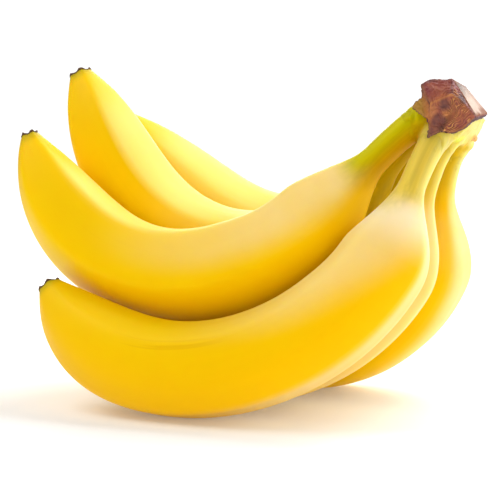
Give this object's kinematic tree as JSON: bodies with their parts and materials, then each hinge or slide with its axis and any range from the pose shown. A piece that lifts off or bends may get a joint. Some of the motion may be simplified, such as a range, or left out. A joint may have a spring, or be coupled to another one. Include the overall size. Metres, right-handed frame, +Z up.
{
  "type": "bunch of bananas",
  "caption": "Bunch of ripe yellow bananas joined at a brown dried crown, in an upper and a lower row of curved five-ridged fruit, lying on its lower row.",
  "frame": {"origin": "Middle of the bunch's box, on the surface it lies on.", "axes": "+Z up. +X runs from the blossom ends to the crown, +Y from the front fingers to the back ones."},
  "size_m": [0.1722, 0.1485, 0.1196],
  "materials": {
    "banana_skin": "satin waxy ripe yellow skin, greener at the neck",
    "stem_skin": "satin yellow-green stem skin",
    "dried_crust": "matt, rough, fibrous brown crust",
    "cut_flesh": "matt pale fibrous cut",
    "flower_end": "matt dark dried crust"
  },
  "bodies": {
    "root": {"banana_upper_front": "banana_skin", "flower_end_upper_front": "flower_end", "banana_upper_middle": "banana_skin", "flower_end_upper_middle": "flower_end", "banana_upper_back": "banana_skin", "flower_end_upper_back": "flower_end", "banana_lower_front": "banana_skin", "flower_end_lower_front": "flower_end", "banana_lower_middle": "banana_skin", "flower_end_lower_middle": "flower_end", "banana_lower_back": "banana_skin", "flower_end_lower_back": "flower_end", "crown_cushion": "stem_skin", "crown_dried_cap": "dried_crust", "crown_cut_face": "cut_flesh"}
  },
  "joints": []
}
